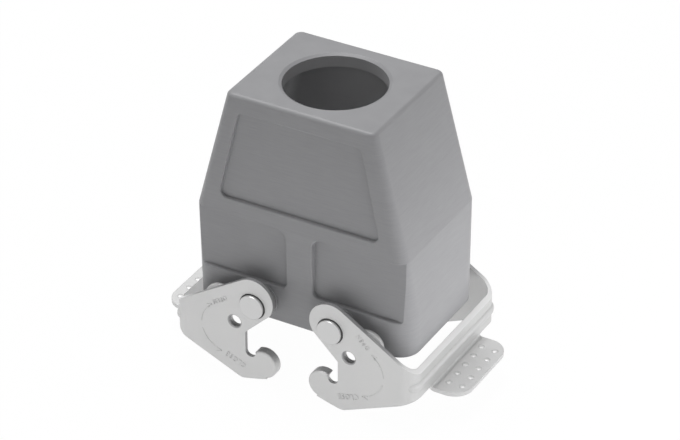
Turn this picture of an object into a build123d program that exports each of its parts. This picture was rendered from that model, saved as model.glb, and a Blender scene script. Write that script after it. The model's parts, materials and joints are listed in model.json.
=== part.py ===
from build123d import *
import math
import os

# Hood of a heavy duty rectangular connector, with two locking levers.
# Millimetres. The origin is the middle of the mating rim, +Z runs up to the cable entry,
# X is the long side, and the long sides that carry the levers face -Y (front) and +Y (rear).

# Outside of the casting
rim_length = 73.0
rim_width = 42.4
band_height = 12.3
shoulder_height = 33.2
shoulder_length = 70.3
shoulder_width = 44.6
hood_height = 73.6
top_length = 49.1
top_width = 42.6
rim_corner_radius = 6.5
shoulder_corner_radius = 3.5
top_corner_radius = 2.5
top_edge_radius = 1.4

# Inside of the casting
mouth_length = 66.0
mouth_width = 35.6
mouth_corner_radius = 4.5
end_wall = 3.0
core_draft = 0.5
roof_thickness = 4.2
core_corner_radius = 4.0

# Cable entry
entry_diameter = 31.2
entry_chamfer_width = 1.0
entry_chamfer_depth = 0.6

# Recessed label panels in the front and rear faces
panel_bottom_rise = 5.2
panel_top_drop = 5.6
panel_bottom_margin = 3.5
panel_top_margin = 3.2
panel_depth = 1.1
panel_corner_radius = 2.2
panel_edge_radius = 0.4

# Pockets over the levers, two on each long side of the rib
rib_width = 9.0
pocket_wall = 2.5
pocket_top_radius = 3.5
pocket_bottom_radius = 2.2
pocket_edge_radius = 0.5

# Screw columns that hold the contact insert
insert_pitch_x = 57.0
insert_pitch_y = 27.0
column_radius = 4.6
column_seat = 7.0
column_top = 30.0
insert_thread_core = 3.3
insert_thread_depth = 11.0

# Lever studs
pivot_x = 13.2
pivot_height = 6.4
stud_radius = 4.0
stud_shoulder_radius = 5.3
stud_tail_radius = 3.0
stud_shoulder_length = 3.5
stud_stand = 1.25
stud_edge_radius = 0.5
pad_radius = 5.8
pad_stand = 0.45

# Levers
sheet = 1.3
pivot_recess_radius = 4.3
pivot_recess_depth = 0.8
lever_bend_radius = 5.0
heel_radius = 7.0
heel_rise = 2.1
web_reach = 27.8
web_top = -8.3
arm_slope_z = -4.0
arm_foot_x = 4.0
arm_foot_z = -27.0
arm_foot_radius = 4.0
arm_end_z = -16.8
neck_x = 2.6
neck_z = -10.0
neck_radius = 1.2
heel_end_angle = 213.0
notch_radius = 1.75
notch_z = -16.6
tip_radius = 4.65
tip_x = -3.0
tip_z = -20.3
tip_end_angle = 250.0
tip_edge_radius = 0.95
chin_x = -1.5
chin_z = -25.6
chin_radius = 3.0
hook_flange_depth = 3.2
hook_flange_wall = 1.3
sight_hole_x = 6.25
sight_hole_z = -7.4
sight_hole_radius = 1.95
sight_collar_wall = 0.6
sight_collar_depth = 0.9
sight_lip_radius = 0.65
bead_z = -12.5
bead_height = 0.7
bead_width = 3.0
bead_wrap_angle = 34.0
tab_width = 30.6
tab_reach = 38.3
tab_top = -17.4
tab_corner_radius = 6.0
tab_bend_radius = 0.9

# Buttons on the inner side of the arms
button_x = 11.9
button_z = -2.0
button_radius = 5.1
button_thickness = 1.8
button_edge_radius = 1.2

# Clearances
stud_running_clearance = 0.08
arm_side_clearance = 0.1
stud_seat_clearance = 0.02

# Edges are told apart by their place to within this distance
pick_tolerance = 0.01

os.makedirs("parts", exist_ok=True)


def between(height, low_height, high_height, low_size, high_size):
    """Size of a straight wall at a height, from its sizes at two other heights."""
    share = (height - low_height) / (high_height - low_height)
    return low_size + (high_size - low_size) * share


def round_point(center_x, center_z, radius, degrees):
    """Point on a circle, at an angle from the first axis."""
    angle = math.radians(degrees)
    return center_x + radius * math.cos(angle), center_z + radius * math.sin(angle)


# Casting: heights and walls that follow from the driving dimensions
roof_height = hood_height - roof_thickness
band_width = between(band_height, 0, shoulder_height, rim_width, shoulder_width)
core_top_width = mouth_width - 2 * core_draft
core_shoulder_width = between(shoulder_height, 0, roof_height, mouth_width, core_top_width)
core_shoulder_length = shoulder_length - 2 * end_wall
roof_length = between(roof_height, shoulder_height, hood_height, shoulder_length, top_length)
core_top_length = roof_length - 2 * end_wall
pocket_face = mouth_width / 2 + pocket_wall

# Front face of the tapered body, which leans back, and its label panel
lean_height = hood_height - shoulder_height
lean = math.atan2((shoulder_width - top_width) / 2, lean_height)
panel_bottom = shoulder_height + panel_bottom_rise
panel_top = hood_height - panel_top_drop
panel_middle = (panel_bottom + panel_top) / 2
panel_face = between(panel_middle, shoulder_height, hood_height, shoulder_width, top_width) / 2
panel_height = (panel_top - panel_bottom) / math.cos(lean)
panel_bottom_width, panel_top_width = (
    between(height, shoulder_height, hood_height, shoulder_length, top_length)
    - 2 * between(height, shoulder_height, hood_height, shoulder_corner_radius, top_corner_radius)
    - 2 * margin
    for height, margin in ((panel_bottom, panel_bottom_margin), (panel_top, panel_top_margin))
)

# Levers and studs, outwards from the middle of the casting
core_face = between(pivot_height, 0, roof_height, mouth_width, core_top_width) / 2
skirt_face = between(pivot_height, 0, shoulder_height, rim_width, shoulder_width) / 2
pad_face = skirt_face + pad_stand
stud_shoulder_face = pad_face + stud_shoulder_length
arm_inner = stud_shoulder_face + arm_side_clearance
arm_outer = arm_inner + sheet
stud_end_face = arm_outer + stud_stand

# The casting's core: the hollow inside, with the four screw columns left standing
with BuildPart() as core:
    for sections in (
        (
            (0, mouth_length, mouth_width, mouth_corner_radius),
            (shoulder_height, core_shoulder_length, core_shoulder_width, core_corner_radius),
        ),
        (
            (shoulder_height, core_shoulder_length, core_shoulder_width, core_corner_radius),
            (roof_height, core_top_length, core_top_width, core_corner_radius),
        ),
    ):
        for height, length, width, radius in sections:
            with BuildSketch(Plane.XY.offset(height)):
                RectangleRounded(length, width, radius)
        loft(ruled=True)
    with BuildSketch(Plane.XY.offset(column_seat)) as columns:
        with GridLocations(insert_pitch_x, insert_pitch_y, 2, 2):
            Circle(column_radius)
        with GridLocations(mouth_length, insert_pitch_y, 2, 2):
            Rectangle(mouth_length - insert_pitch_x, 2 * column_radius)
        with GridLocations(insert_pitch_x, mouth_width, 2, 2):
            Rectangle(2 * column_radius, mouth_width - insert_pitch_y)
    extrude(amount=column_top - column_seat, mode=Mode.SUBTRACT)

with BuildPart() as hood_shell:
    # Skirt, and the band under the shoulder
    for sections in (
        (
            (0, rim_length, rim_width, rim_corner_radius),
            (band_height, rim_length, band_width, rim_corner_radius),
        ),
        (
            (band_height, rim_length, band_width, rim_corner_radius),
            (shoulder_height, shoulder_length, shoulder_width, shoulder_corner_radius),
        ),
    ):
        for height, length, width, radius in sections:
            with BuildSketch(Plane.XY.offset(height)):
                RectangleRounded(length, width, radius)
        loft(ruled=True)

    # Pockets on each side of a rib, above a ledge and open to the ends of the casting
    for side in (1, -1):
        with BuildSketch(Plane.XZ.offset(side * shoulder_width)) as pockets:
            for end in (1, -1):
                with BuildLine():
                    Polyline(
                        (end * rim_length, band_height),
                        (end * rib_width / 2, band_height),
                        (end * rib_width / 2, shoulder_height),
                        (end * rim_length, shoulder_height),
                        close=True,
                    )
                make_face()
            beside_rib = pockets.vertices().filter_by_position(Axis.X, -rib_width, rib_width)
            fillet(beside_rib.group_by(Axis.Y)[-1], pocket_top_radius)
            beside_rib = pockets.vertices().filter_by_position(
                Axis.X, -rib_width / 2, rib_width / 2
            )
            fillet(beside_rib.group_by(Axis.Y)[0], pocket_bottom_radius)
        extrude(amount=-side * (shoulder_width - pocket_face), mode=Mode.SUBTRACT)
    pocket_rims = hood_shell.edges().filter_by(Axis.Y, reverse=True).filter_by_position(
        Axis.Z, band_height - pick_tolerance, shoulder_height - pick_tolerance
    )
    pocket_rims = pocket_rims.filter_by(lambda edge: abs(edge.center().Y) > pocket_face)
    fillet(pocket_rims, pocket_edge_radius)

    # Tapered upper body, with its top rim rounded
    for height, length, width, radius in (
        (shoulder_height, shoulder_length, shoulder_width, shoulder_corner_radius),
        (hood_height, top_length, top_width, top_corner_radius),
    ):
        with BuildSketch(Plane.XY.offset(height)):
            RectangleRounded(length, width, radius)
    loft(ruled=True)
    fillet(hood_shell.faces().sort_by(Axis.Z)[-1].outer_wire().edges(), top_edge_radius)

    # Recessed label panels, front and rear
    for side in (1, -1):
        face_plane = Plane(
            origin=(0, -side * panel_face, panel_middle),
            x_dir=(side, 0, 0),
            z_dir=(0, -side * math.cos(lean), math.sin(lean)),
        )
        with BuildSketch(face_plane) as panel:
            with BuildLine():
                Polyline(
                    (-panel_bottom_width / 2, -panel_height / 2),
                    (panel_bottom_width / 2, -panel_height / 2),
                    (panel_top_width / 2, panel_height / 2),
                    (-panel_top_width / 2, panel_height / 2),
                    close=True,
                )
            make_face()
            fillet(panel.vertices(), panel_corner_radius)
        extrude(amount=-panel_depth, mode=Mode.SUBTRACT)
        sloped = hood_shell.faces().filter_by(face_plane)
        framed = sloped.filter_by(lambda face: len(face.inner_wires()) == 1)
        fillet(framed[0].inner_wires()[0].edges(), panel_edge_radius)

    # Flat cast pads for the studs
    for side in (1, -1):
        with BuildSketch(Plane.XZ.offset(side * core_face)):
            with Locations((-pivot_x, pivot_height), (pivot_x, pivot_height)):
                Circle(pad_radius)
        extrude(amount=side * (pad_face - core_face))

    add(core.part, mode=Mode.SUBTRACT)

    # Round cable entry with a chamfered edge
    with BuildSketch(Plane.XZ):
        with BuildLine():
            Polyline(
                (0, roof_height - core_corner_radius),
                (entry_diameter / 2, roof_height - core_corner_radius),
                (entry_diameter / 2, hood_height - entry_chamfer_depth),
                (entry_diameter / 2 + entry_chamfer_width, hood_height),
                (0, hood_height),
                close=True,
            )
        make_face()
    revolve(axis=Axis.Z, mode=Mode.SUBTRACT)

    # Threaded holes for the insert's screws
    with BuildSketch(Plane.XY.offset(column_seat)):
        with GridLocations(insert_pitch_x, insert_pitch_y, 2, 2):
            Circle(insert_thread_core / 2)
    extrude(amount=insert_thread_depth, mode=Mode.SUBTRACT)

    # Seats of the studs, through each long wall
    with BuildSketch(Plane.XZ):
        with Locations((-pivot_x, pivot_height), (pivot_x, pivot_height)):
            Circle(stud_tail_radius + stud_seat_clearance)
    extrude(amount=rim_width, both=True, mode=Mode.SUBTRACT)

hood_shell.part.label = "hood_shell"
export_step(hood_shell.part, "parts/hood_shell.step")

# Studs: a tail in the casting, a shoulder for the arm to run on, and the journal
for side_name, side in (("front", 1), ("rear", -1)):
    for end_name, end in (("left", -1), ("right", 1)):
        with BuildPart() as stud:
            for radius, inner_face, outer_face in (
                (stud_tail_radius, core_face, pad_face),
                (stud_shoulder_radius, pad_face, stud_shoulder_face),
                (stud_radius, stud_shoulder_face, stud_end_face),
            ):
                base = Plane(
                    origin=(end * pivot_x, -side * inner_face, pivot_height),
                    x_dir=(1, 0, 0),
                    z_dir=(0, -side, 0),
                )
                with BuildSketch(base):
                    Circle(radius)
                extrude(amount=outer_face - inner_face)
            face = stud.edges().filter_by(GeomType.CIRCLE).sort_by(Axis.Y)
            fillet(face[0] if side > 0 else face[-1], stud_edge_radius)
        name = f"{side_name}_{end_name}_stud"
        stud.part.label = name
        export_step(stud.part, f"parts/{name}.step")

# Lever outline, measured from its pivot: where its straight edges leave the round ones
bend_start_x = web_reach - lever_bend_radius
slope_distance = math.hypot(bend_start_x, arm_slope_z - heel_rise)
slope_angle = math.degrees(math.atan2(arm_slope_z - heel_rise, bend_start_x))
heel_start_angle = slope_angle + math.degrees(math.acos(heel_radius / slope_distance))
notch_x = neck_x - notch_radius
notch_distance = math.hypot(notch_x - tip_x, notch_z - tip_z)
notch_angle = math.degrees(math.atan2(notch_z - tip_z, notch_x - tip_x))
tip_corner = math.degrees(
    math.acos(
        (notch_distance**2 + tip_radius**2 - notch_radius**2) / (2 * notch_distance * tip_radius)
    )
)
tip_start_angle = notch_angle + tip_corner
tip_start_x, tip_start_z = round_point(tip_x, tip_z, tip_radius, tip_start_angle)
notch_sweep = math.degrees(math.atan2(tip_start_z - notch_z, tip_start_x - notch_x)) % 360 - 360

# Bead: an arc of this radius stands the bead's height out of the sheet
bead_radius = (bead_width**2 / 4 + bead_height**2) / (2 * bead_height)
bead_inset = bead_radius - bead_height
groove_radius = bead_radius - sheet
bead_bend = lever_bend_radius - bead_inset

with BuildPart() as lever_form:
    with BuildSketch(Plane.XZ) as side_outline:
        with BuildLine():
            heel = CenterArc(
                (0, heel_rise), heel_radius, heel_start_angle, heel_end_angle - heel_start_angle
            )
            neck = Line(heel @ 1, (neck_x, neck_z))
            drop = Line(neck @ 1, (neck_x, notch_z))
            CenterArc((notch_x, notch_z), notch_radius, 0, notch_sweep)
            tip = CenterArc(
                (tip_x, tip_z), tip_radius, tip_start_angle, tip_end_angle - tip_start_angle
            )
            Polyline(
                tip @ 1,
                (chin_x, chin_z),
                (arm_foot_x, arm_foot_z),
                (web_reach, arm_end_z),
                (web_reach, web_top),
            )
            slope = Line(heel @ 0, (bend_start_x, arm_slope_z))
            TangentArc(slope @ 1, (web_reach, web_top), tangent=slope % 1)
        make_face()
        for corner_x, corner_z, radius in (
            (neck_x, neck_z, neck_radius),
            (chin_x, chin_z, chin_radius),
            (arm_foot_x, arm_foot_z, arm_foot_radius),
        ):
            corner = side_outline.vertices().sort_by_distance((corner_x, corner_z, 0))[0]
            fillet(corner, radius)
    extrude(amount=arm_outer, both=True)
    fillet(lever_form.edges().filter_by(Axis.Z).sort_by(Axis.X)[-2:], lever_bend_radius)

    # Bead pressed out of the end web, running a little way round both bends
    with BuildLine(Plane.XY.offset(bead_z)) as bead_path:
        bend_y = arm_outer - lever_bend_radius
        CenterArc((bend_start_x, -bend_y), bead_bend, -bead_wrap_angle, bead_wrap_angle)
        Line((bend_start_x + bead_bend, -bend_y), (bend_start_x + bead_bend, bend_y))
        CenterArc((bend_start_x, bend_y), bead_bend, 0, bead_wrap_angle)
    with BuildSketch(Plane(bead_path.line @ 0, z_dir=bead_path.line % 0)):
        Circle(bead_radius)
    sweep(path=bead_path.line)
    with Locations(bead_path.line @ 0, bead_path.line @ 1):
        Sphere(bead_radius)

    # Inside of the folded sheet
    with BuildSketch(Plane.XY.offset(-web_reach)) as inside:
        with Locations((web_reach - sheet, 0)):
            Rectangle(2 * web_reach, 2 * arm_inner, align=(Align.MAX, Align.CENTER))
        fillet(inside.vertices().group_by(Axis.X)[-1], lever_bend_radius - sheet)
    extrude(amount=2 * web_reach, mode=Mode.SUBTRACT)
    with BuildSketch(Plane(bead_path.line @ 0, z_dir=bead_path.line % 0)):
        Circle(groove_radius)
    sweep(path=bead_path.line, mode=Mode.SUBTRACT)
    with Locations(bead_path.line @ 0, bead_path.line @ 1):
        Sphere(groove_radius, mode=Mode.SUBTRACT)

    # Finger tab, folded outwards from the web
    with BuildSketch(Plane.XZ):
        with BuildLine():
            rise = Line((web_reach, arm_end_z + sheet), (web_reach, tab_top + tab_bend_radius))
            upper_bend = TangentArc(
                rise @ 1, (web_reach + tab_bend_radius, tab_top), tangent=rise % 1
            )
            Polyline(
                upper_bend @ 1,
                (tab_reach, tab_top),
                (tab_reach, tab_top - sheet),
                (web_reach + tab_bend_radius, tab_top - sheet),
            )
            lower_bend = TangentArc(
                (web_reach + tab_bend_radius, tab_top - sheet),
                (web_reach - sheet, tab_top + tab_bend_radius),
                tangent=(-1, 0),
            )
            Polyline(lower_bend @ 1, (web_reach - sheet, arm_end_z + sheet), rise @ 0)
        make_face()
    extrude(amount=tab_width / 2, both=True)
    fillet(lever_form.edges().filter_by(Axis.Z).sort_by(Axis.X)[-2:], tab_corner_radius)

    # Hook tips, drawn inwards to a wide bearing for the mating half's peg
    for side in (1, -1):
        with BuildSketch(Plane.XZ.offset(side * arm_inner)):
            with BuildLine():
                outer = CenterArc(
                    (tip_x, tip_z), tip_radius, tip_start_angle, tip_end_angle - tip_start_angle
                )
                inner = CenterArc(
                    (tip_x, tip_z),
                    tip_radius - hook_flange_wall,
                    tip_start_angle,
                    tip_end_angle - tip_start_angle,
                )
                Line(outer @ 0, inner @ 0)
                Line(outer @ 1, inner @ 1)
            make_face()
        extrude(amount=-side * (hook_flange_depth - sheet))
    tip_angle = math.radians(tip_start_angle)
    tip_section = Plane(
        origin=(tip_x, 0, tip_z),
        x_dir=(math.cos(tip_angle), 0, math.sin(tip_angle)),
        z_dir=(-math.sin(tip_angle), 0, math.cos(tip_angle)),
    )
    for side in (1, -1):
        with BuildSketch(tip_section):
            with BuildLine():
                edge = Polyline(
                    (tip_radius, side * (arm_outer - tip_edge_radius)),
                    (tip_radius + sheet, side * (arm_outer - tip_edge_radius)),
                    (tip_radius + sheet, side * (arm_outer + sheet)),
                    (tip_radius - tip_edge_radius, side * (arm_outer + sheet)),
                    (tip_radius - tip_edge_radius, side * arm_outer),
                )
                RadiusArc(edge @ 1, edge @ 0, side * tip_edge_radius)
            make_face()
        revolve(
            axis=Axis((tip_x, 0, tip_z), (0, -1, 0)),
            revolution_arc=tip_end_angle - tip_start_angle,
            mode=Mode.SUBTRACT,
        )

    # Collared sight hole and the pivot hole in each arm
    for side in (1, -1):
        with BuildSketch(Plane.XZ.offset(side * arm_inner)):
            with Locations((sight_hole_x, sight_hole_z)):
                Circle(sight_hole_radius + sight_collar_wall)
        extrude(amount=-side * sight_collar_depth)
    with BuildSketch(Plane.XZ):
        Circle(stud_radius + stud_running_clearance)
        with Locations((sight_hole_x, sight_hole_z)):
            Circle(sight_hole_radius)
    extrude(amount=2 * arm_outer, both=True, mode=Mode.SUBTRACT)
    for side in (1, -1):
        with BuildSketch(Plane.XZ.offset(side * arm_outer)):
            Circle(pivot_recess_radius)
        extrude(amount=-side * pivot_recess_depth, mode=Mode.SUBTRACT)
    sight_edges = lever_form.edges().filter_by(
        lambda edge: edge.geom_type == GeomType.CIRCLE
        and abs(edge.radius - sight_hole_radius) < pick_tolerance
        and abs(abs(edge.center().Y) - arm_outer) < pick_tolerance
    )
    fillet(sight_edges, sight_lip_radius)

for end_name, end, turn in (("left", -1, 180), ("right", 1, 0)):
    lever_place = Location((end * pivot_x, 0, pivot_height), (0, 0, turn))
    with BuildPart() as lever:
        with Locations(lever_place):
            add(lever_form.part)
    name = f"{end_name}_lever"
    lever.part.label = name
    export_step(lever.part, f"parts/{name}.step")

    for side_name, side in (("front", 1), ("rear", -1)):
        base = Plane(
            origin=(end * (pivot_x + button_x), -side * arm_inner, pivot_height + button_z),
            x_dir=(1, 0, 0),
            z_dir=(0, side, 0),
        )
        with BuildPart() as button:
            with BuildSketch(base):
                Circle(button_radius)
            extrude(amount=button_thickness)
            rims = button.edges().filter_by(GeomType.CIRCLE).sort_by(Axis.Y)
            fillet(rims[-1] if side > 0 else rims[0], button_edge_radius)
        name = f"{side_name}_{end_name}_button"
        button.part.label = name
        export_step(button.part, f"parts/{name}.step")
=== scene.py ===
import json
import math

import bmesh
import bpy
from mathutils import Matrix, Vector


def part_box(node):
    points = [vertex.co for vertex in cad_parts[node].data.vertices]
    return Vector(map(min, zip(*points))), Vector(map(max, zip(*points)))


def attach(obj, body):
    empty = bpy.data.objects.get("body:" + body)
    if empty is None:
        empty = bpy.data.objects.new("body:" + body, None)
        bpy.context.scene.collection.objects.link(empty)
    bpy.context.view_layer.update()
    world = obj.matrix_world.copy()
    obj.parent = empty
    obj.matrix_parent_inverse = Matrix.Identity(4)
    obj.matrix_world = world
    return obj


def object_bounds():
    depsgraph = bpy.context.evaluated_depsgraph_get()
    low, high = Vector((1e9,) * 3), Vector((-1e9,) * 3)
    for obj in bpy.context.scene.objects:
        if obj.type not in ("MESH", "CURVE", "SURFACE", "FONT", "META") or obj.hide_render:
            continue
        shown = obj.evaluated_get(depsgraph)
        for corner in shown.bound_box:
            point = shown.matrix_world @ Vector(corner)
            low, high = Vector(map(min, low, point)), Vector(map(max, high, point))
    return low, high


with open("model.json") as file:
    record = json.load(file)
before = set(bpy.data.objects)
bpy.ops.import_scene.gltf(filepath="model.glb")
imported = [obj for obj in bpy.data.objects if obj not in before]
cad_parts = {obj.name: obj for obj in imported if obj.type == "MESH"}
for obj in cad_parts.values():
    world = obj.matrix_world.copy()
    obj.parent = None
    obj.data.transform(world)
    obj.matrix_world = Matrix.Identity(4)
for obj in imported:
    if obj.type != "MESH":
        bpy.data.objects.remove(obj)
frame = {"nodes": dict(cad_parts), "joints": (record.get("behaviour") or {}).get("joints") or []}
cad_low, cad_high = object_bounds()
MM = 0.001

# Camera: its direction and distance from the point it looks at, its lens in millimetres and in
# pixels of the photograph, and the pixels by which its aim is turned off that point
VIEW_AZIMUTH = math.radians(29.5)
VIEW_ELEVATION = math.radians(31.7)
VIEW_DISTANCE = 1000 * MM
VIEW_PIVOT = Vector((0, 0, 45 * MM))
VIEW_LENS = 180.43
SENSOR_WIDTH = 36.0
LENS_PIXELS = 3408.2
VIEW_TURN_RIGHT = 4.3 / LENS_PIXELS
VIEW_TURN_DOWN = 54.7 / LENS_PIXELS

# Surroundings: their light on the object, and the side high at the back on the left that polished
# surfaces show darker. The dimming grows as a reflection comes nearer to that side.
SKY_LIGHT = 0.22
DARK_SIDE = (-0.42, 0.74, 0.53)
DIM_START = 0.3
DIM_FULL = 0.8
DIM_SHARE = 0.65

# Tones of the finishes, and the share of pure white in the floor as it is seen
WHITE = (1, 1, 1, 1)
FLOOR_TONE = (0.93, 0.93, 0.93, 1)
FLOOR_WHITENESS = 0.98
COAT_DARK = (0.262, 0.262, 0.272, 1)
COAT_PALE = (0.330, 0.330, 0.340, 1)
# Painted light: the casting's inner walls paler, standing in for light through the open bottom
COAT_INSIDE_PAINTED_LIGHT = (0.52, 0.52, 0.53, 1)
SHEET_DARK = (0.63, 0.63, 0.63, 1)
SHEET_PALE = (0.66, 0.66, 0.657, 1)
# Painted shade in the sheet's creases and on the arms' sheared edges; painted reflection on the
# web's
SHEET_CREASE_SHADE = (0.4, 0.4, 0.4, 1)
SHEARED_ARM_SHADE = (0.4, 0.4, 0.405, 1)
SHEARED_WEB_REFLECTION = (0.8, 0.8, 0.8, 1)
STUD_TONE = (0.60, 0.60, 0.60, 1)

# Casting: middle of its walls, between the outside and the hollow, and how far each end leans in
# for each unit of height above the shoulder
INSIDE_LENGTH = 67.6 * MM
INSIDE_WIDTH = 37.4 * MM
INSIDE_HEIGHT = 72.9 * MM
SHOULDER_HEIGHT = 33.2 * MM
END_LEAN = 0.262

# Levers' sheet: its thickness, how deep it still counts as a face and not as a sheared edge, the
# bends between arm and web, where the sheared edge's painted shade on the arms turns to a painted
# reflection on the web along the lever, how far painted shade darkens the sheet in a crease, and
# where the hook tips end
SHEET = 1.3 * MM
FACE_DEPTH = 0.03 * MM
BEND_RADIUS = 5.0 * MM
BEND_CENTER = (36.0 * MM, -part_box("right_lever")[0].y - BEND_RADIUS)
EDGE_SHADE_TO_REFLECTION = (BEND_CENTER[0] - 3 * MM, BEND_CENTER[0] + 2 * MM)
CREASE_SHADE_REACH = 1.1 * MM
TIP_REACH = 15.0 * MM
TIP_TOP = -9.0 * MM

# Levers: the right one's pivot, the faces of its front arm and of its tab, and the nubs on the
# tab, whose rows are measured outwards from the pivot
PIVOT = Vector(frame["joints"][1]["pos_m"])
ARM_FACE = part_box("right_lever")[0].y
TAB_TOP = -17.4 * MM + PIVOT.z
NUB_RADIUS = 1.0 * MM
NUB_HEIGHT = 0.24 * MM
NUB_PITCH = 5.2 * MM
NUB_COLUMNS = 5
NUB_ROWS = (31.0 * MM, 35.5 * MM)

# Turned ends of the studs
RING_PITCH = 0.22 * MM

# Marks on the levers' arms, placed from the pivot. The arcs' spans are in degrees. In millimetres
# are each arrow's tip and two barbs, and each word's centre, direction, length and height.
MARK_HEIGHT = 0.12 * MM
LETTER_HEIGHT = 0.2 * MM
MARK_STROKE = 0.28 * MM
LETTER_SPACING = 1.3
ARC_CENTER = Vector((9.3 * MM, -11.1 * MM))
ARC_RADIUS = 8.5 * MM
ARC_SPANS = ((3, 50), (-62, -16))
ARROWS = (
    ((14.0, -3.7), (15.2, -5.3), (15.8, -4.2)),
    ((10.9, -19.5), (12.7, -18.9), (12.7, -20.2)),
)
WORDS = {
    "left": (
        ("OPEN", (11.2, -1.4), (4.3, -2.8), 5.3, 1.5),
        ("CLOSE", (6.0, -21.2), (6.3, 2.7), 6.9, 1.9),
    ),
    "right": (
        ("OPEN", (11.0, -0.4), (-3.6, 3.7), 5.3, 1.5),
        ("CLOSE", (6.1, -21.4), (-6.5, -1.7), 6.9, 1.9),
    ),
}


class Value:
    """A number or colour on its way through a material. Arithmetic on it adds Math nodes."""

    def __init__(self, finish, socket):
        self.finish = finish
        self.socket = socket

    def __add__(self, other):
        return self.finish.math("ADD", self, other)

    def __sub__(self, other):
        return self.finish.math("SUBTRACT", self, other)

    def __rsub__(self, other):
        return self.finish.math("SUBTRACT", other, self)

    def __mul__(self, other):
        return self.finish.math("MULTIPLY", self, other)

    __radd__ = __add__
    __rmul__ = __mul__


class Finish:
    """The nodes of a surface finish, or of the surroundings, while they are being put together."""

    def __init__(self, owner):
        self.owner = owner
        owner.use_nodes = True
        self.tree = owner.node_tree
        self.tree.nodes.clear()

    def node(self, kind, settings=None, inputs=None, output=0):
        """Adds a node: first its settings, then the values or links of its sockets."""
        added = self.tree.nodes.new("ShaderNode" + kind)
        for name, setting in (settings or {}).items():
            setattr(added, name, setting)
        for name, given in (inputs or {}).items():
            if isinstance(given, Value):
                self.tree.links.new(given.socket, added.inputs[name])
            else:
                added.inputs[name].default_value = given
        return Value(self, added.outputs[output] if len(added.outputs) else None)

    def math(self, operation, first, second):
        return self.node("Math", {"operation": operation}, {0: first, 1: second})

    def noise(self, place, scale, detail=2.0, roughness=0.5):
        """Cloudy pattern from 0 to 1, with its scale in features to the metre."""
        sockets = {"Vector": place, "Scale": scale, "Detail": detail, "Roughness": roughness}
        return self.node("TexNoise", {"noise_dimensions": "3D"}, sockets)

    def blend(self, share, first, second):
        """Colour between two colours, which are sockets 6 and 7 of the node."""
        return self.node("Mix", {"data_type": "RGBA"}, {0: share, 6: first, 7: second}, output=2)

    def place(self, scale=(1, 1, 1), move=(0, 0, 0)):
        """Object coordinates, stretched and moved."""
        coordinates = self.node("TexCoord", output="Object")
        return self.node("Mapping", None, {"Vector": coordinates, "Location": move, "Scale": scale})

    def ramp(self, value, start, end, most=1.0):
        """0 up to the start, and from there evenly up to the most at the end."""
        sockets = {"Value": value, "From Min": start, "From Max": end, "To Max": most}
        return self.node("MapRange", None, sockets)

    def relief(self, height, depth, edge_radius):
        """Surface direction from rounded edges and a pattern of that depth in metres."""
        rounded = self.node("Bevel", {"samples": 6}, {"Radius": edge_radius})
        sockets = {"Height": height, "Distance": depth, "Strength": 1.0, "Normal": rounded}
        return self.node("Bump", None, sockets)

    def done(self, **inputs):
        """Ends the finish with its shader, and gives the material."""
        names = {name: name.replace("_", " ").title() for name in inputs}
        shader = self.node("BsdfPrincipled", None, {names[name]: inputs[name] for name in inputs})
        self.node("OutputMaterial", None, {"Surface": shader})
        return self.owner


def place_parts(finish):
    """Distance from the middle along the length and the width, and the height."""
    place = finish.place()
    along, across, height = (
        finish.node("SeparateXYZ", None, {"Vector": place}, output=index) for index in range(3)
    )
    return finish.math("ABSOLUTE", along, 0.0), finish.math("ABSOLUTE", across, 0.0), height


def inside_share(finish):
    """1 on the casting's inner walls and 0 on its outside, told apart halfway through each wall."""
    along, across, height = place_parts(finish)
    length = along + END_LEAN * finish.math("MAXIMUM", height - SHOULDER_HEIGHT, 0.0)
    within_length = finish.math("LESS_THAN", length, INSIDE_LENGTH / 2)
    within_width = finish.math("LESS_THAN", across, INSIDE_WIDTH / 2)
    below_roof = finish.math("LESS_THAN", height, INSIDE_HEIGHT)
    return within_length * within_width * below_roof


def cut_share(finish):
    """1 on the sheared edges of a lever's sheet, without its drawn hook tips, and 0 elsewhere."""
    along, across, height = place_parts(finish)
    past_bend = finish.node(
        "CombineXYZ",
        None,
        {
            0: finish.math("MAXIMUM", along - BEND_CENTER[0], 0.0),
            1: finish.math("MAXIMUM", across - BEND_CENTER[1], 0.0),
        },
    )
    reach = finish.node("VectorMath", {"operation": "LENGTH"}, {0: past_bend}, output="Value")
    within_outside = finish.math("LESS_THAN", reach, BEND_RADIUS - FACE_DEPTH)
    past_inside = finish.math("GREATER_THAN", reach, BEND_RADIUS - SHEET + FACE_DEPTH)
    past_tip = finish.math("GREATER_THAN", along, TIP_REACH)
    above_tip = finish.math("GREATER_THAN", height, TIP_TOP)
    return within_outside * past_inside * finish.math("MAXIMUM", past_tip, above_tip)


def powder_coat():
    """Matte grey powder coat on the casting, with a fine grain, and painted light on its inside."""
    finish = Finish(bpy.data.materials.new("powder_coat"))
    grain = finish.noise(finish.place(), scale=3200.0, detail=3.0)
    cloud = finish.noise(finish.place(), scale=90.0)
    streak = finish.noise(finish.place(scale=(0.06, 0.06, 1.0)), scale=2600.0)
    coat = finish.blend(cloud * 0.3 + streak * 0.7, COAT_DARK, COAT_PALE)
    # Painted light: the inner walls take the paler tone, for light through the open bottom
    return finish.done(
        base_color=finish.blend(inside_share(finish), coat, COAT_INSIDE_PAINTED_LIGHT),
        roughness=0.42 + 0.1 * grain,
        normal=finish.relief(grain, depth=0.012 * MM, edge_radius=0.25 * MM),
    )


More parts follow.
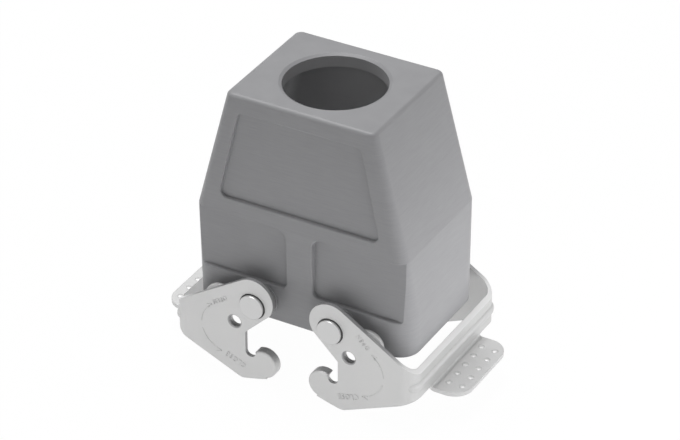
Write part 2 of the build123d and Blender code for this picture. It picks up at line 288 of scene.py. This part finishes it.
def lever_steel():
    """Satin sheet steel of the levers, with painted shade in creases and on the arms' sheared
    edges, and a painted reflection on the sheared edges of the web.
    """
    finish = Finish(bpy.data.materials.new("lever_steel"))
    grain = finish.noise(finish.place(), scale=2400.0, detail=3.0)
    cloud = finish.noise(finish.place(), scale=120.0)
    steel = finish.blend(cloud, SHEET_DARK, SHEET_PALE)
    # Painted shade in the sheet's creases, darker where its own shape closes round it
    local = {"samples": 8, "only_local": True}
    unshaded_share = finish.node("AmbientOcclusion", local, {"Distance": CREASE_SHADE_REACH}, output="AO")
    crease_shaded = finish.blend(unshaded_share, SHEET_CREASE_SHADE, steel)
    along = place_parts(finish)[0]
    # Painted shade on the arms' sheared edges, turning to a painted reflection on the web's
    sheared = finish.blend(finish.ramp(along, *EDGE_SHADE_TO_REFLECTION), SHEARED_ARM_SHADE, SHEARED_WEB_REFLECTION)
    return finish.done(
        base_color=finish.blend(cut_share(finish), crease_shaded, sheared),
        metallic=0.75,
        roughness=0.5 + 0.08 * grain,
        normal=finish.relief(grain, depth=0.002 * MM, edge_radius=0.22 * MM),
    )


def turned_steel(name, center):
    """Turned end of a stud, with fine rings about its own axis."""
    finish = Finish(bpy.data.materials.new(name))
    across = finish.place(move=(-center.x, 0, -center.z))
    flat = finish.node("VectorMath", {"operation": "MULTIPLY"}, {0: across, 1: (1, 0, 1)})
    reach = finish.node("VectorMath", {"operation": "LENGTH"}, {0: flat}, output="Value")
    rings = finish.math("SINE", reach * (2 * math.pi / RING_PITCH), 0)
    grain = finish.noise(finish.place(), scale=2600.0)
    return finish.done(
        base_color=STUD_TONE,
        metallic=1.0,
        roughness=0.26 + 0.08 * grain,
        normal=finish.relief(rings, depth=0.0012 * MM, edge_radius=0.1 * MM),
    )


def looking_rays(finish):
    """Two numbers: 1 on rays seen, mirrored or let through, and 1 on mirrored rays only."""
    seen = finish.node("LightPath", output="Is Camera Ray")
    mirrored = finish.node("LightPath", output="Is Glossy Ray")
    passed = finish.node("LightPath", output="Is Transmission Ray")
    return seen + mirrored + passed, mirrored


def floor_finish():
    """Pale floor that shows white to the camera and keeps a soft shadow."""
    finish = Finish(bpy.data.materials.new("pale_floor"))
    shade = finish.node("BsdfDiffuse", None, {"Color": FLOOR_TONE})
    white = finish.node("Emission", None, {"Color": WHITE, "Strength": 1.0})
    looking = looking_rays(finish)[0]
    floor = finish.node("MixShader", None, {0: looking * FLOOR_WHITENESS, 1: shade, 2: white})
    finish.node("OutputMaterial", None, {"Surface": floor})
    return finish.owner


def mesh_piece(name, shape, material):
    """Turns a bmesh into an object with its normals outwards."""
    bmesh.ops.recalc_face_normals(shape, faces=shape.faces)
    mesh = bpy.data.meshes.new(name)
    shape.to_mesh(mesh)
    shape.free()
    mesh.materials.append(material)
    piece = bpy.data.objects.new(name, mesh)
    bpy.context.scene.collection.objects.link(piece)
    return piece


def smooth(piece):
    for polygon in piece.data.polygons:
        polygon.use_smooth = True


def tab_nubs(end, material):
    """Rows of grip nubs pressed up out of a lever's finger tab."""
    shape = bmesh.new()
    side = 1 if end == "right" else -1
    for row in NUB_ROWS:
        for column in range(NUB_COLUMNS):
            across = (column - (NUB_COLUMNS - 1) / 2) * NUB_PITCH
            center = Vector((side * (PIVOT.x + row), across, TAB_TOP))
            place = Matrix.Translation(center) @ Matrix.Diagonal((1, 1, NUB_HEIGHT / NUB_RADIUS, 1))
            bmesh.ops.create_uvsphere(
                shape, u_segments=20, v_segments=10, radius=NUB_RADIUS, matrix=place
            )
    piece = mesh_piece(end + "_tab_nubs", shape, material)
    smooth(piece)
    return piece


def arm_place(end):
    """Frame of a front arm's face: first axis outwards, second up, third out of the face."""
    side = 1 if end == "right" else -1
    columns = (Vector((side, 0, 0)), Vector((0, 0, 1)), Vector((0, -1, 0)))
    place = Matrix.Identity(4)
    for index, column in enumerate(columns):
        for row in range(3):
            place[row][index] = column[row]
    place.translation = Vector((side * PIVOT.x, ARM_FACE, PIVOT.z))
    return place


def stroke(shape, start, stop):
    """Raised straight stroke between two points of the arm's face."""
    along = Vector(stop) - Vector(start)
    middle = (Vector(start) + Vector(stop)) / 2
    size = Matrix.Diagonal((along.length, MARK_STROKE, 2 * MARK_HEIGHT, 1))
    turn = Matrix.Rotation(math.atan2(along.y, along.x), 4, "Z")
    place = Matrix.Translation((middle.x, middle.y, 0)) @ turn @ size
    bmesh.ops.create_cube(shape, size=1.0, matrix=place)


def swing_mark(end, material):
    """Curved double arrow that shows how the lever swings."""
    shape = bmesh.new()
    for low, high in ARC_SPANS:
        turn = Matrix.Rotation(math.radians(low), 4, "Z")
        corners = []
        for radius, height in ((-0.5, -1), (0.5, -1), (0.5, 1), (-0.5, 1)):
            corner = Vector((ARC_RADIUS + radius * MARK_STROKE, 0, height * MARK_HEIGHT))
            corner = turn @ corner + Vector((*ARC_CENTER, 0))
            corners.append(shape.verts.new(corner))
        first = shape.faces.new(corners)
        swept = bmesh.ops.spin(
            shape, geom=[*corners, *first.edges], cent=(*ARC_CENTER, 0), axis=(0, 0, 1),
            angle=math.radians(high - low), steps=16, use_duplicate=False,
        )
        last = [item for item in swept["geom_last"] if isinstance(item, bmesh.types.BMVert)]
        bmesh.ops.contextual_create(shape, geom=last)
    for tip, *barbs in ARROWS:
        for barb in barbs:
            stroke(shape, [part * MM for part in tip], [part * MM for part in barb])
    bmesh.ops.transform(shape, matrix=arm_place(end), verts=shape.verts)
    return mesh_piece(end + "_swing_mark", shape, material)


def word_mark(end, word, center, along, length, height, material):
    """A word raised on the arm's face, upside down as the levers carry it."""
    letters = bpy.data.curves.new(word, "FONT")
    letters.body = word
    letters.extrude = 1.0
    letters.resolution_u = 3
    letters.space_character = LETTER_SPACING
    writing = bpy.data.objects.new(word, letters)
    bpy.context.scene.collection.objects.link(writing)
    graph = bpy.context.evaluated_depsgraph_get()
    flat = bpy.data.meshes.new_from_object(writing.evaluated_get(graph))
    bpy.data.objects.remove(writing)
    shape = bmesh.new()
    shape.from_mesh(flat)
    bpy.data.meshes.remove(flat)
    bmesh.ops.remove_doubles(shape, verts=shape.verts, dist=1e-5)
    xs = [vertex.co.x for vertex in shape.verts]
    ys = [vertex.co.y for vertex in shape.verts]
    centred = Matrix.Translation((-(min(xs) + max(xs)) / 2, -(min(ys) + max(ys)) / 2, 0))
    size = Matrix.Diagonal(
        (length * MM / (max(xs) - min(xs)), height * MM / (max(ys) - min(ys)), LETTER_HEIGHT, 1)
    )
    side = 1 if end == "right" else -1
    mirror = Matrix.Diagonal((side, 1, 1, 1))
    direction = Vector((side * along[0], along[1]))
    turn = Matrix.Rotation(math.atan2(direction.y, direction.x), 4, "Z")
    place = Matrix.Translation((center[0] * MM, center[1] * MM, 0)) @ mirror @ turn @ size @ centred
    bmesh.ops.transform(shape, matrix=arm_place(end) @ place, verts=shape.verts)
    return mesh_piece(f"{end}_{word.lower()}_mark", shape, material)


def arm_marks(end, material):
    """Marks on a lever's front arm, and their copies on the other lever's rear arm."""
    other = "left" if end == "right" else "right"
    pieces = [swing_mark(end, material)]
    for word, center, along, length, height in WORDS[end]:
        pieces.append(word_mark(end, word, center, along, length, height, material))
    for piece in pieces:
        rear_mesh = piece.data.copy()
        rear_mesh.transform(Matrix.Rotation(math.pi, 4, "Z"))
        rear = bpy.data.objects.new(piece.name.replace(end, other) + "_rear", rear_mesh)
        bpy.context.scene.collection.objects.link(rear)
        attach(piece, end + "_lever_body")
        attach(rear, other + "_lever_body")


def soft_light(name, toward, level, distance, size, mirrored=False):
    """Oblong lamp. From afar it lights a facing surface at that share of its own colour.

    Gloss shows only the wide lamp overhead, and not the narrow ones, which would leave streaks.
    """
    lamp = bpy.data.lights.new(name, "AREA")
    lamp.shape = "RECTANGLE"
    lamp.size, lamp.size_y = size
    lamp.energy = level * math.pi**2 * distance**2
    light = bpy.data.objects.new(name, lamp)
    direction = Vector(toward).normalized()
    light.location = direction * distance
    light.rotation_euler = direction.to_track_quat("Z", "Y").to_euler()
    light.visible_glossy = mirrored
    bpy.context.scene.collection.objects.link(light)


def studio():
    """Pale floor, white surroundings with a darker side in reflections, and soft lamps."""
    shape = bmesh.new()
    bmesh.ops.create_grid(shape, x_segments=1, y_segments=1, size=3.0)
    bmesh.ops.translate(shape, vec=(0, 0, cad_low.z), verts=shape.verts)
    mesh_piece("floor", shape, floor_finish())

    world = bpy.data.worlds.new("studio")
    bpy.context.scene.world = world
    surroundings = Finish(world)
    looking, mirrored = looking_rays(surroundings)
    facing = surroundings.node("TexCoord", output="Generated")
    toward_dark = surroundings.node(
        "VectorMath", {"operation": "DOT_PRODUCT"}, {0: facing, 1: DARK_SIDE}, output="Value"
    )
    dimmed = surroundings.ramp(toward_dark, DIM_START, DIM_FULL, most=DIM_SHARE)
    strength = SKY_LIGHT + (1 - SKY_LIGHT) * looking - mirrored * dimmed
    sky = surroundings.node("Background", None, {"Color": WHITE, "Strength": strength})
    surroundings.node("OutputWorld", None, {"Surface": sky})

    soft_light(
        "top_lamp", toward=(-0.22, 0.12, 0.97), level=0.86,
        distance=2.0, size=(1.0, 1.0), mirrored=True,
    )
    soft_light(
        "front_lamp", toward=(0.25, -1.0, -0.04), level=0.115,
        distance=0.13, size=(0.3, 0.03),
    )
    soft_light(
        "right_lamp", toward=(1.0, 0.08, -0.05), level=0.57,
        distance=0.15, size=(0.2, 0.025),
    )


def camera():
    """Camera at the photograph's angle."""
    data = bpy.data.cameras.new("camera")
    data.lens = VIEW_LENS
    data.sensor_width = SENSOR_WIDTH
    data.clip_start = 0.01
    viewer = bpy.data.objects.new("camera", data)
    level = math.cos(VIEW_ELEVATION)
    back = Vector(
        (
            math.sin(VIEW_AZIMUTH) * level,
            -math.cos(VIEW_AZIMUTH) * level,
            math.sin(VIEW_ELEVATION),
        )
    )
    right = Vector((math.cos(VIEW_AZIMUTH), math.sin(VIEW_AZIMUTH), 0))
    up = back.cross(right)
    aim = -back + right * VIEW_TURN_RIGHT - up * VIEW_TURN_DOWN
    viewer.location = VIEW_PIVOT + back * VIEW_DISTANCE
    viewer.rotation_euler = aim.to_track_quat("-Z", "Y").to_euler()
    bpy.context.scene.collection.objects.link(viewer)
    bpy.context.scene.camera = viewer


def dress_frame():
    """Gives every CAD node its finish."""
    casting = powder_coat()
    sheet = lever_steel()
    for name, node in frame["nodes"].items():
        finish = casting if name == "hood_shell" else sheet
        if name.endswith("_stud"):
            low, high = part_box(name)
            finish = turned_steel("turned_" + name, (low + high) / 2)
        for slot in node.material_slots:
            slot.material = finish
    return sheet


bpy.context.scene.view_settings.view_transform = "Standard"
camera()
studio()
sheet_steel = dress_frame()
for lever_end in ("left", "right"):
    nubs = tab_nubs(lever_end, sheet_steel)
    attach(nubs, lever_end + "_lever_body")
    arm_marks(lever_end, sheet_steel)
